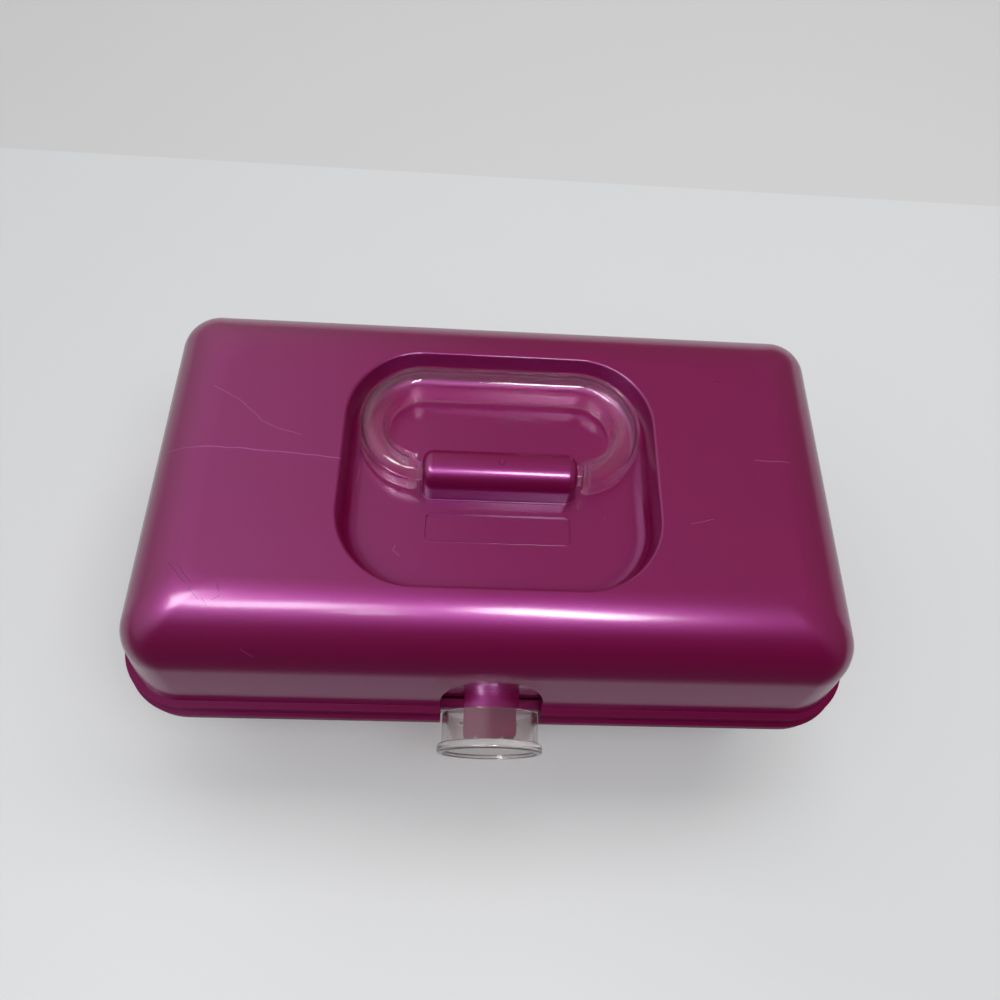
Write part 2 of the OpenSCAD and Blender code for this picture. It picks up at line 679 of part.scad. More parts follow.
module tray() color(pink) difference() {
  union() {
    difference() {
      translate([0, tray_y0 + tray_d / 2, tray_z1]) mirror([0, 0, 1])
        cushion(tray_w / 2, tray_d / 2, tray_r, 2.5, tray_h, 5, tray_draft);
      for (q = pockets)
        translate([(q[0] + q[1]) / 2, tray_y0 + tray_d / 2 + (q[2] + q[3]) / 2, 0])
          slab((q[1] - q[0]) / 2, (q[3] - q[2]) / 2, 6, tray_z0 + tray_wall, tray_z1 + 1);
    }
    for (s = [0, 1]) mirror([s, 0, 0]) for (p = tray_pivots)
      translate([0, p[0], p[1]])
        rod(rivet_head_r + 0.8, tray_w / 2 - tray_wall - 1.5, arm_x - 0.15);
    // guides for the dividers on the front row's two walls
    for (s = [-1, 1], t = [-1, 1], y = [-inner_y, row_y - tray_wall / 2])
      translate([s * tray_divider_x + t * (divider_t / 2 + slot_clear + 0.6),
                 tray_y0 + tray_d / 2 + y, (tray_z0 + tray_z1) / 2])
        cube([1.2, 3, tray_h - 4], center = true);
  }
  for (s = [0, 1]) mirror([s, 0, 0]) for (p = tray_pivots)
    translate([0, p[0], p[1]])
      rod(rivet_r + seat_clear, tray_w / 2 - tray_wall - 1.1, arm_x + 1);
}

module tray_divider(s) color(clear)
  translate([s * tray_divider_x, tray_y0 + tray_d / 2, 0]) rotate([90, 0, 90])
    linear_extrude(divider_t, center = true) {
      y0 = -inner_y + 0.2;
      y1 = row_y - tray_wall / 2 - 0.2;
      z0 = tray_z0 + tray_wall + 0.1;
      difference() {
        translate([y0, z0]) square([y1 - y0, tray_h - tray_wall - 3]);
        translate([(y0 + y1) / 2, z0 + tray_h - tray_wall - 3]) circle(6);
      }
    }

base_shell();
base_divider(-1);  // base_divider_left
base_divider(1);  // base_divider_right
hinge_pin(-1);  // hinge_pin_left
hinge_pin(1);  // hinge_pin_right
base_rivets();
lid_shell();
mirror_frame();
mirror_glass();
mirror_foam();
mirror_screws();
handle();
latch_button();
latch_pin();
arm(-1, 0);  // arm_front_left
arm(1, 0);  // arm_front_right
arm(-1, 1);  // arm_rear_left
arm(1, 1);  // arm_rear_right
tray();
tray_rivets();
tray_divider(-1);  // tray_divider_left
tray_divider(1);  // tray_divider_right
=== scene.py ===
# %% [markdown]
# # A makeup storage case with a lift lid
# The case is a glossy raspberry moulding with a clear handle that folds into the lid and a clear round
# latch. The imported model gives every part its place. This file adds the camera, the light, the finishes
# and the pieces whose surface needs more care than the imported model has.

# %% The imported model
import math

import bmesh
import bpy
from mathutils import Matrix, Vector


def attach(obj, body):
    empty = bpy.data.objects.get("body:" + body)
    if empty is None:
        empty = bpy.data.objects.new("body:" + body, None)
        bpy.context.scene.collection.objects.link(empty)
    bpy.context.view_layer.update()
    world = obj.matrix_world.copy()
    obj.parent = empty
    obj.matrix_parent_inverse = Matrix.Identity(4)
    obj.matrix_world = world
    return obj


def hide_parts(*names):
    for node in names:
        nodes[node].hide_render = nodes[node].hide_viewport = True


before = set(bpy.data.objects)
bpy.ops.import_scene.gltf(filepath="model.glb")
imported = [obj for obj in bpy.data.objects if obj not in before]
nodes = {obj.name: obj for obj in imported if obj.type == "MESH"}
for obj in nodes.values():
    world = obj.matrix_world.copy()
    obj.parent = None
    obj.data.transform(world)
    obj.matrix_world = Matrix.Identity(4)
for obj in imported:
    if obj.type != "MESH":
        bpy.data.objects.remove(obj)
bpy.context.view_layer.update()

# %% [markdown]
# Blender works in metres and the case is easier to think of in millimetres, so one number turns one into
# the other. These are the sizes of the lid that several cells share, with z measured from the floor.

# %% Sizes of the lid
MM = 0.001
PARTING = 68.0          # height at which the lid meets the base
LID_HIGH = 56.0         # height of the lid above that plane
HALF_W, HALF_D = 140.0, 81.0
CORNER = 22.4           # corner radius of the lid at its foot
ROLL = 29.6             # radius of the soft edge round the top
DRAFT = math.radians(12)
FLANGE = 8.0            # height of the flange round the lid's foot
FLANGE_OUT = 2.6        # how far the flange stands out
TOP = PARTING + LID_HIGH
PIVOT_Z = TOP - 8.0     # axis of the handle
FLOOR_Z = TOP - 15.8    # floor of the recess
NEAR = 0.01             # two lengths closer than this count as the same


def mm(*values):
    """A point in metres from millimetres."""
    return Vector(v * MM for v in values)


# %% [markdown]
# The camera looks down on the case from the front, a little from the left, and it is rolled by eight
# degrees, as a telephone held in one hand is. Its place comes from the outline of the lid in the
# photograph: the corners, the two rim lines and the recess all have to fall where they do there.

# %% Camera
CAMERA_AT = mm(-14.115, -129.188, 368.330)
ELEVATION, AZIMUTH, TILT = (math.radians(a) for a in (64.790, -6.933, 8.352))
FOCAL_PX = 738.54       # focal length in pixels of a picture 1000 wide

towards_camera = Vector((math.sin(AZIMUTH) * math.cos(ELEVATION),
                         -math.cos(AZIMUTH) * math.cos(ELEVATION), math.sin(ELEVATION)))
level_right = (-towards_camera).cross(Vector((0, 0, 1))).normalized()
level_up = level_right.cross(-towards_camera)
right = level_right * math.cos(TILT) + level_up * math.sin(TILT)
up = level_up * math.cos(TILT) - level_right * math.sin(TILT)
camera = bpy.data.objects.new("camera", bpy.data.cameras.new("camera"))
bpy.context.scene.collection.objects.link(camera)
turned = Matrix((right, up, towards_camera)).transposed().to_4x4()
camera.matrix_world = Matrix.Translation(CAMERA_AT) @ turned
camera.data.sensor_width = 36
camera.data.lens = camera.data.sensor_width * FOCAL_PX / 1000
camera.data.clip_start, camera.data.clip_end = 0.01, 20
bpy.context.scene.camera = camera
print("lens in mm:", round(camera.data.lens, 3))

# %% [markdown]
# A finish is a small network of shader nodes. Written node by node it is long and hard to read, so two
# short classes help: `Wire` is the value that runs along a connection, and it knows plus, minus and
# times. `Network` is the node tree of one material or of the world, and its `add` makes any node from its
# type, its settings and its sockets. Its `marks` draws scratches: each is a straight stroke that a little
# noise makes waver.

# %% Wires and networks
SHAKE_SCALE, SHAKE_BY = 90.0, 0.002     # what makes a scratch waver: spots per metre, metres


class Wire:
    """A value that runs between shader nodes. Sums and products add the Math nodes they need."""

    def __init__(self, network, socket):
        self.network, self.socket = network, socket

    def maths(self, operation, *values):
        return self.network.add("ShaderNodeMath", {"operation": operation}, dict(enumerate(values)))

    def __add__(self, other):
        return self.maths("ADD", self, other)

    def __sub__(self, other):
        return self.maths("SUBTRACT", self, other)

    def __rsub__(self, other):
        return self.maths("SUBTRACT", other, self)

    def __mul__(self, other):
        return self.maths("MULTIPLY", self, other)

    __radd__, __rmul__ = __add__, __mul__

    def ramp(self, low, high):
        """0 where the value is low, 1 where it is high, and straight in between."""
        return self.network.add("ShaderNodeMapRange", {}, {
            "Value": self, "From Min": low, "From Max": high})


class Network:
    """The nodes of a material or a world."""

    def __init__(self, owner, place="Object"):
        owner.use_nodes = True
        self.owner, self.tree = owner, owner.node_tree
        self.tree.nodes.clear()
        self.place = self.add("ShaderNodeTexCoord", out=place)

    def add(self, kind, settings={}, sockets={}, out=0):
        """Makes a node and gives back one of its outputs."""
        node = self.tree.nodes.new(kind)
        for key, value in settings.items():
            setattr(node, key, value)
        for key, value in sockets.items():
            if isinstance(value, Wire):
                self.tree.links.new(value.socket, node.inputs[key])
            else:
                node.inputs[key].default_value = value
        return Wire(self, node.outputs[out]) if node.outputs else None

    def mix(self, share, a, b):
        """Colour a where share is 0, colour b where it is 1."""
        a, b = ((*c, 1) if isinstance(c, tuple) else c for c in (a, b))
        return self.add("ShaderNodeMix", {"data_type": "RGBA"}, {0: share, 6: a, 7: b}, out=2)

    def noise(self, scale, detail=2.0, stretch=(1, 1, 1)):
        """A cloudy value from 0 to 1; scale is in spots per metre."""
        where = self.add("ShaderNodeMapping", {}, {"Vector": self.place, "Scale": stretch})
        return self.add("ShaderNodeTexNoise", {}, {"Vector": where, "Scale": scale, "Detail": detail})

    def bump(self, height, depth, strength=1.0, over=None):
        """A normal tilted by a height; it can lie over another bump."""
        below = {"Normal": over} if over else {}
        return self.add("ShaderNodeBump", {}, {
            "Height": height, "Distance": depth, "Strength": strength, **below})

    def vector(self, operation, *values, out=0):
        return self.add("ShaderNodeVectorMath", {"operation": operation}, dict(enumerate(values)),
                        out=out)

    def axis(self, name):
        """One coordinate of the place."""
        return self.add("ShaderNodeSeparateXYZ", {}, {"Vector": self.place}, out=name)

    def ray(self, kind):
        """1 for rays of one kind, 0 for all others."""
        return self.add("ShaderNodeLightPath", out=f"Is {kind} Ray")

    def marks(self, strokes, width):
        """1 on thin lines seen from above, 0 elsewhere; each runs between two points in mm."""
        shake = self.add("ShaderNodeTexNoise", {}, {"Vector": self.place, "Scale": SHAKE_SCALE},
                         out="Color")
        shake = self.vector("SUBTRACT", shake, (0.5, 0.5, 0.5))
        shake = self.vector("MULTIPLY", shake, (SHAKE_BY, SHAKE_BY, 0))
        flat = self.vector("MULTIPLY", self.vector("ADD", self.place, shake), (1, 1, 0))
        total = None
        for a, b in strokes:
            a, b = mm(*a, 0), mm(*b, 0)
            from_a = self.vector("SUBTRACT", flat, a)
            along = self.vector("DOT_PRODUCT", from_a, (b - a) / (b - a).length_squared, out="Value")
            along = along.ramp(0, 1)
            along = self.add("ShaderNodeCombineXYZ", {}, {0: along, 1: along})
            foot = self.vector("MULTIPLY", along, b - a)
            gap = self.vector("DISTANCE", from_a, foot, out="Value")
            mask = (gap * (2 / (width * MM)) + (-1.0)).ramp(1, 0)
            total = mask if total is None else total.maths("MAXIMUM", total, mask)
        return total

    def done(self, shader, kind="Material"):
        self.add("ShaderNodeOutput" + kind, {}, {"Surface": shader})
        return self.owner


def wear(material, *pieces):
    """Gives pieces one material."""
    for piece in pieces:
        piece = nodes[piece] if isinstance(piece, str) else piece
        piece.data.materials.clear()
        piece.data.materials.append(material)


# %% [markdown]
# The case is a pearl moulding: a crimson plastic full of tiny flakes that shine violet, under a clear
# gloss skin. Where nothing bright is mirrored the crimson shows, and towards a lamp the flakes light up
# and give the broad pale band along the front edge. So the finish is a mix of two shaders, one for the
# plastic and one, metallic and rougher, for the flakes. Both have the same gloss coat, so the mix never
# shows in a reflection.
#
# A flange and the wall above it stand at a right angle and throw the light of a lamp in front straight
# back at the camera. In the photograph the photographer's hand and telephone shade just that path, and
# the flange is dark. The pearl paints that shade onto a band of heights: fewer flakes, a thin coat and a
# slightly deeper crimson, all of it painted shade.

# %% Pearl moulding
def shade(colour, by):
    return tuple(min(1, c * by) for c in colour)


def pearl(name, plastic, flake, share, gloss=0.17, skin=1.0, marked=False, shaded_band=None):
    """Share is how much of the surface shines as flakes; the last one is a band of heights in mm that gets
    painted shade.
    """
    f = Network(bpy.data.materials.new(name))
    cloud, grain, smear = f.noise(14, 3), f.noise(2600, 1), f.noise(30, 4, (1, 5, 3))
    edges = f.add("ShaderNodeBevel", {"samples": 6}, {"Radius": 0.0005})
    waves = f.bump(f.noise(60, 2), 0.00003, 0.5, over=edges)
    flakes = f.bump(grain, 0.0001, 0.5, over=edges)
    tone = f.mix(cloud, shade(plastic, 0.94), shade(plastic, 1.06))
    glow = f.mix(grain, shade(flake, 0.85), shade(flake, 1.15))
    worn = smear * 0.05
    if marked:
        dark = f.marks(DARK_MARKS, 0.18) * 0.55
        pale = f.marks(PALE_MARKS, 0.13) * 0.3
        pressed = f.marks(CREASES, 0.30)
        tone = f.mix(pale + pressed * 0.22, f.mix(dark, tone, (0.012, 0.001, 0.006)), (0.42, 0.16, 0.30))
        glow = f.mix(pale, f.mix(dark, glow, (0.02, 0.01, 0.02)), (0.85, 0.60, 0.80))
        flat = f.vector("MULTIPLY", f.place, (1, 1, 0))
        centre = f.vector("DISTANCE", flat, mm(*GATE, 0), out="Value")
        ring = centre.maths("ABSOLUTE", centre - GATE_R * MM).ramp(0.4 * MM, 0)
        relief = ring + pressed * -0.15
        waves, flakes = (f.bump(relief, 0.35 * MM, over=below) for below in (waves, flakes))
        worn = worn + (dark + pale) * 0.2
    # Painted shade: inside the band fewer flakes, a thinner coat and a darker crimson stand in for the
    # photographer's shadow.
    if shaded_band:
        z = f.axis("Z") * (1 / MM)
        inside = z.ramp(shaded_band[0] - 0.2, shaded_band[0]) * z.ramp(shaded_band[1] + 0.2, shaded_band[1])
        skin, share = 1 - inside * 0.75, (1 - inside * 0.8) * share
        tone = f.mix(inside * 0.25, tone, (0.02, 0.0, 0.004))
    skin = {"Coat Weight": skin, "Coat Roughness": gloss, "Coat IOR": 1.5}
    body = f.add("ShaderNodeBsdfPrincipled", {}, {
        "Base Color": tone, "Roughness": worn + 0.42, "IOR": 1.5, "Specular IOR Level": 0.0,
        "Normal": waves, **skin})
    shine = f.add("ShaderNodeBsdfPrincipled", {}, {
        "Base Color": glow, "Metallic": 1.0, "Roughness": worn + 0.32, "Normal": flakes, **skin})
    return f.done(f.add("ShaderNodeMixShader", {}, {0: share, 1: body, 2: shine}))


# %% [markdown]
# The lid has been used. It has a long stress crease on each side of the recess, hair-fine pale scratches,
# a few dark ones on the front edge and a black speck behind the barrel. Each is a stroke between two
# points, given in millimetres as seen from above. On top of the barrel is the small ring that the mould's
# gate left.
#
# There are four pearls. The base and the lid have the same one, each with its own band of painted shade,
# and only the lid has marks. The foot of the barrel stands at a right angle to the ledge under it, so its
# own pearl is dull all over. The pieces inside are a little less glossy.

# %% Marks and finishes
CREASES = [((-125.6, 3.1), (-92.8, 2.1)), ((-92.8, 2.1), (-59.7, -0.2)), ((97.8, 5.9), (111.4, 5.2))]
DARK_MARKS = [((-113.5, -42.5), (-106.5, -50.5)), ((-110.8, -42.8), (-105.0, -50.0)),
              ((-105.5, -52.0), (-101.6, -55.5)), ((-97.3, -55.3), (-94.9, -53.6)),
              ((-96.0, -50.0), (-95.2, -52.2)), ((-24.6, 6.9), (-23.8, 6.7)),
              ((-100.6, -55.0), (-98.9, -57.2)), ((86.0, 41.2), (88.5, 40.4))]
PALE_MARKS = [((-110.2, 29.3), (-99.8, 23.0)), ((-99.8, 23.0), (-90.3, 14.6)),
              ((-90.3, 14.6), (-75.5, 8.8)), ((-38.6, -27.8), (-39.5, -29.8)),
              ((-39.5, -29.8), (-36.8, -32.1)), ((41.4, -14.1), (41.8, -14.2)),
              ((-88.0, -69.5), (-84.0, -71.5)), ((23.2, -47.3), (26.0, -47.9)),
              ((70.0, -22.0), (79.0, -19.5))]
GATE, GATE_R = (0.3, 0.7), 1.1
CRIMSON, VIOLET = (0.165, 0.0018, 0.038), (0.43, 0.065, 0.41)
case_pearl = pearl("case_pearl", CRIMSON, VIOLET, 0.23, shaded_band=(PARTING - 7, PARTING + 16))
lid_pearl = pearl("lid_pearl", CRIMSON, VIOLET, 0.23, marked=True,
                  shaded_band=(PARTING - 1, PARTING + FLANGE + 0.1))
foot_pearl = pearl("foot_pearl", CRIMSON, VIOLET, 0.03, gloss=0.45, skin=0.25)
inner_pearl = pearl("inner_pearl", CRIMSON, shade(VIOLET, 0.8), 0.18, gloss=0.24)
wear(case_pearl, "base_shell")
wear(inner_pearl, "tray", "base_divider_left", "base_divider_right", "mirror_frame",
     "arm_front_left", "arm_front_right", "arm_rear_left", "arm_rear_right")

# %% [markdown]
# The lid is one moulding with a broad soft edge that runs round the top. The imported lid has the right
# sizes, but where two of its rolled edges meet at a corner they leave a crease, because the roll is wider
# than the corner. The real mould was polished, so its corners are smooth balls. The way chosen here keeps
# all that is right and remakes the rest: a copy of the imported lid, with its corners cut out and grown
# again ring by ring, each ring a rounded rectangle that is a little smaller and turns a little tighter
# than the one below.

# %% Measures of the rolled edge
ROLL_IN = ROLL / math.cos(DRAFT) + (LID_HIGH - ROLL - FLANGE) * math.tan(DRAFT)
ROLL_Z = TOP - ROLL                                     # height of the roll's axis
ROLL_FROM = ROLL_Z + ROLL * math.sin(DRAFT)             # where the slanted wall becomes the roll
TIGHT = 9.0                                             # corner radius of the flat top
SOFT = 7.0                                              # stretch over which the radius stops shrinking
CUT_X, CUT_Y = HALF_W - ROLL_IN - TIGHT - 1, HALF_D - ROLL_IN - TIGHT - 1
TURNS = [math.radians(a) for a in range(12, 91, 3)]     # the roll's slices, from the draft to the top


def ring_at(turn):
    """Inset and height of the lid's skin where it has turned by an angle from upright."""
    return ROLL_IN - ROLL * math.cos(turn), ROLL_Z + ROLL * math.sin(turn)


def corner_radius(inset):
    """Corner radius of the ring at an inset: it shrinks with the inset, then holds at the tight radius."""
    lean = CORNER - inset - TIGHT
    share = min(1, max(0, 0.5 + lean / SOFT / 2))
    return TIGHT + lean * share + SOFT * share * (1 - share)


def inset_of(v):
    """How far a point lies inside the outline of the lid's foot."""
    x, y = abs(v.x) - HALF_W + CORNER, abs(v.y) - HALF_D + CORNER
    return CORNER - (math.hypot(x, y) if x > 0 and y > 0 else max(x, y))


def pull_to_ring(v, inset):
    """Moves a point of a corner onto the ring at an inset."""
    radius = corner_radius(inset)
    centre = Vector((HALF_W - inset - radius, HALF_D - inset - radius))
    out = Vector((abs(v.x), abs(v.y))) - centre
    if out.x > 0 and out.y > 0:
        at = centre + out.normalized() * radius
        v.x, v.y = math.copysign(at.x, v.x), math.copysign(at.y, v.y)


print("roll starts at z", round(ROLL_FROM, 2), "and the flat top is",
      round(2 * (HALF_W - ROLL_IN), 1), "wide")

# %% [markdown]
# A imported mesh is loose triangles, so the copy is welded first and its flat faces are joined into one
# face each. Then every face gets a number for the surface that it lies on, which later steps choose by.

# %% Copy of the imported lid
def millimetre_copy(node):
    bm = bmesh.new()
    bm.from_mesh(nodes[node].data)
    bmesh.ops.scale(bm, vec=(1 / MM, 1 / MM, 1 / MM), verts=bm.verts)
    bmesh.ops.remove_doubles(bm, verts=bm.verts, dist=NEAR / 10)
    bmesh.ops.dissolve_limit(bm, angle_limit=math.radians(0.1), verts=bm.verts, edges=bm.edges)
    bm.normal_update()
    return bm


lid = millimetre_copy("lid_shell")
kind = lid.faces.layers.int.new("kind")
WALL, ROLLED, FLAT, BOWL, FLOOR, RIM = 1, 2, 3, 4, 5, 6
BOWL_W, BOWL_D, BOWL_R = 59.2, 48.5, 29.2               # the recess at the top of the lid
BOWL_EDGE, BOWL_DRAFT = 5.0, math.radians(5)            # its soft foot and its slant
BOWL_SLOPE = 6.1                                        # what wall and soft foot take up, seen from above
BESIDE_BARREL = 50.0                                    # beyond this there is only floor


def bowl_inset_of(v):
    x, y = abs(v.x) - BOWL_W + BOWL_R, abs(v.y) - BOWL_D + BOWL_R
    return BOWL_R - (math.hypot(x, y) if x > 0 and y > 0 else max(x, y))


def on_roll(v):
    return abs(math.hypot(inset_of(v.co) - ROLL_IN, v.co.z - ROLL_Z) - ROLL) < 3 * NEAR


def on_wall(v):
    return abs(inset_of(v.co) - (v.co.z - PARTING - FLANGE) * math.tan(DRAFT)) < 3 * NEAR


def surface_of(face):
    low, high = min(v.co.z for v in face.verts), max(v.co.z for v in face.verts)
    if low > TOP - NEAR and face.normal.z > 0.999:
        return FLAT
    if low > ROLL_FROM - 0.2 and all(on_roll(v) for v in face.verts):
        return ROLLED
    if low > PARTING + FLANGE - NEAR and high < ROLL_FROM + 2 * NEAR and all(on_wall(v) for v in face.verts):
        return WALL
    if low > FLOOR_Z - NEAR and all(-2 * NEAR < bowl_inset_of(v.co) < BOWL_SLOPE for v in face.verts):
        return FLOOR if face.normal.z > 0.9999 else BOWL
    if (FLOOR_Z - NEAR < low and high < FLOOR_Z + NEAR and face.normal.z > 0.999
            and max(abs(v.co.x) for v in face.verts) > BESIDE_BARREL):
        return FLOOR
    return 0


for face in lid.faces:
    face[kind] = surface_of(face)
print("faces by surface:", {k: sum(f[kind] == k for f in lid.faces) for k in range(6)})

# %% [markdown]
# Two pairs of upright planes cut the lid's skin just inside its corners. Everything of the slanted wall,
# the roll and the flat top beyond them is deleted, which leaves four open corners with clean borders.

# %% Open the four corners
def faces_of(*kinds):
    return [f for f in lid.faces if f[kind] in kinds]


def unique(items):
    """Each item once, in the order of first mention, so that every run gives the same mesh."""
    return list(dict.fromkeys(items))


def cut(faces, at, normal):
    """Slices faces with a plane and gives back the new edges."""
    parts = [*faces, *unique(e for f in faces for e in f.edges), *unique(v for f in faces for v in f.verts)]
    done = bmesh.ops.bisect_plane(lid, geom=parts, dist=0.0005, plane_co=at, plane_no=normal)
    return [e for e in done["geom_cut"] if isinstance(e, bmesh.types.BMEdge)]


def beyond(face):
    middle = face.calc_center_median()
    return abs(middle.x) > CUT_X and abs(middle.y) > CUT_Y


for side in (-1, 1):
    cut(faces_of(WALL, ROLLED, FLAT), (side * CUT_X, 0, 0), (1, 0, 0))
    cut(faces_of(WALL, ROLLED, FLAT), (0, side * CUT_Y, 0), (0, 1, 0))
bmesh.ops.delete(lid, geom=[f for f in faces_of(WALL, ROLLED, FLAT) if beyond(f)], context="FACES")
print("open edges:", sum(e.is_boundary for e in lid.edges))

# %% [markdown]
# The straight stretches of the roll are sliced every three degrees by planes through the roll's axis. The
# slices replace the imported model's own, coarser lines, and every new point is set on the true circle, so
# that gloss runs over the edge without a ripple.

# %% Even slices on the straight rolls
mark = lid.edges.layers.int.new("mark")
axes = ((Vector((HALF_W - ROLL_IN, 0, ROLL_Z)), Vector((1, 0, 0))),
        (Vector((0, HALF_D - ROLL_IN, ROLL_Z)), Vector((0, 1, 0))))
for at, out in axes:
    for side in (-1, 1):
        for turn in TURNS[1:-1]:
            here = [f for f in faces_of(ROLLED) if side * f.calc_center_median().dot(out) > at.dot(out) - 0.5
                    and (abs(f.calc_center_median().y) < CUT_Y) == (out.x == 1)]
            slant = -out * side * math.sin(turn) + Vector((0, 0, math.cos(turn)))
            for edge in cut(here, (side * at.x, side * at.y, at.z), slant):
                edge[mark] = 1
between = [e for e in lid.edges if not e[mark] and len(e.link_faces) == 2
           and all(f[kind] == ROLLED for f in e.link_faces)]
bmesh.ops.dissolve_edges(lid, edges=between, use_verts=True)
for v in {v for f in faces_of(ROLLED) for v in f.verts}:
    if abs(v.co.y) <= CUT_Y + 0.001:
        side = Vector((math.copysign(1, v.co.x), 0, 0))
    else:
        side = Vector((0, math.copysign(1, v.co.y), 0))
    axis = side * (HALF_W - ROLL_IN if side.x else HALF_D - ROLL_IN)
    out = Vector((v.co.dot(side) - axis.dot(side), v.co.z - ROLL_Z))
    if abs(v.co.z - ROLL_FROM) < 0.2:
        out = Vector((math.cos(DRAFT), math.sin(DRAFT)))
    elif v.co.z > TOP - 0.005:
        out = Vector((0, 1))
    out = out.normalized() * ROLL
    v.co += side * (axis.dot(side) + out.x - v.co.dot(side))
    v.co.z = ROLL_Z + out.y
print("rolled faces:", len(faces_of(ROLLED)))

# %% [markdown]
# Each corner now grows from the flange upwards. The chain of open edges along the flange gets more points
# on its arc, is extruded to the next height, and each new point is set on the smaller ring there. A point
# on the arc keeps its direction from the ring's centre, which itself walks inwards along the diagonal.

# %% Grow the corners
def open_edges(sx, sy, height):
    """The open edges of one corner at a height."""
    return [e for e in lid.edges if e.is_boundary and all(
        abs(v.co.z - height) < NEAR and sx * v.co.x > CUT_X - NEAR and sy * v.co.y > CUT_Y - NEAR
        for v in e.verts)]


for sx in (-1, 1):
    for sy in (-1, 1):
        arc = [e for e in open_edges(sx, sy, PARTING + FLANGE) if e.calc_length() < CORNER / 2 and all(
            abs(v.co.x) > HALF_W - CORNER - NEAR and abs(v.co.y) > HALF_D - CORNER - NEAR for v in e.verts)]
        bmesh.ops.bisect_edges(lid, edges=arc, cuts=2, edge_percents={})
        chain = open_edges(sx, sy, PARTING + FLANGE)
        for v in {v for e in chain for v in e.verts}:
            pull_to_ring(v.co, 0)
        before = 0.0
        for turn in TURNS:
            inset, height = ring_at(turn)
            grown = bmesh.ops.extrude_edge_only(lid, edges=chain)["geom"]
            chain = [g for g in grown if isinstance(g, bmesh.types.BMEdge)]
            old, new = corner_radius(before), corner_radius(inset)
            for v in [g for g in grown if isinstance(g, bmesh.types.BMVert)]:
                at = Vector((abs(v.co.x), abs(v.co.y)))
                out = at - Vector((HALF_W - before - old, HALF_D - before - old))
                if out.x > -0.001 and out.y > -0.001:
                    at = Vector((HALF_W - inset - new, HALF_D - inset - new)) + out.normalized() * new
                elif out.x > out.y:
                    at.x = HALF_W - inset
                else:
                    at.y = HALF_D - inset
                v.co = (sx * at.x, sy * at.y, height)
            for g in grown:
                if isinstance(g, bmesh.types.BMFace):
                    g[kind] = ROLLED
            before = inset
        bmesh.ops.remove_doubles(lid, verts=[v for v in lid.verts if v.is_boundary], dist=2 * NEAR)
        filled = bmesh.ops.edgeloop_fill(lid, edges=open_edges(sx, sy, TOP))["faces"]
        print("corner", sx, sy, "top filled with", len(filled), "face")
print("open edges left:", sum(e.is_boundary for e in lid.edges))

# %% [markdown]
# The inside of the lid has the same creased corners. It isn't remade, only pulled: it is sliced near the
# corners, and every point there slides onto the ring that has its own inset, so the wall keeps its
# thickness.

# %% Round the corners inside
def inside_corner(face):
    middle = face.calc_center_median()
    return face[kind] == 0 and abs(middle.x) > CUT_X and abs(middle.y) > CUT_Y and middle.z > PARTING + FLANGE


for side in (-1, 1):
    for at, normal in (((side * CUT_X, 0, 0), (1, 0, 0)), ((0, side * CUT_Y, 0), (0, 1, 0))):
        cut([f for f in lid.faces if f[kind] == 0
             and min(v.co.z for v in f.verts) > PARTING + FLANGE - 1], at, normal)
for angle in (math.radians(a) for a in range(9, 90, 9)):
    for sx in (-1, 1):
        for sy in (-1, 1):
            here = [f for f in lid.faces if inside_corner(f) and sx * f.calc_center_median().x > 0
                    and sy * f.calc_center_median().y > 0]
            cut(here, (sx * CUT_X, sy * CUT_Y, 0), (-sx * math.sin(angle), sy * math.cos(angle), 0))
pulled = {v for f in lid.faces if inside_corner(f) for v in f.verts}
pulled -= {v for f in lid.faces if f[kind] for v in f.verts}
for v in pulled:
    pull_to_ring(v.co, inset_of(v.co))
print("points pulled inside:", len(pulled))

# %% [markdown]
# The recess is a bowl with a slanted wall, a soft foot and a rim that the mould left just round enough to
# catch the light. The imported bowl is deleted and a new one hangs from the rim: the rim's open edges are
# extruded down in steps along the bowl's profile, the floor is filled back in between the bowl and what
# stands on it, and at last the rim is bevelled.

# %% The recess
BOWL_TURNS = [math.radians(a) for a in (5, 13, 21, 29, 37, 45, 53, 61, 69, 77, 84, 90)]
RIM_SOFT, RIM_STEPS = 1.0, 4


def open_rim():
    return [e for e in lid.edges if e.is_boundary and min(v.co.z for v in e.verts) > TOP - 0.2]


def outwards(v):
    """The way out of the bowl at a point of its rim, seen from above."""
    x, y = max(0, abs(v.x) - BOWL_W + BOWL_R), max(0, abs(v.y) - BOWL_D + BOWL_R)
    return Vector((math.copysign(x, v.x), math.copysign(y, v.y), 0)).normalized()


def soften(edges, size, steps, clamp=False):
    """Rounds edges and gives back the new faces."""
    return bmesh.ops.bevel(lid, geom=edges, offset=size, offset_type="OFFSET", segments=steps,
                           profile=0.5, affect="EDGES", clamp_overlap=clamp, material=-1)["faces"]


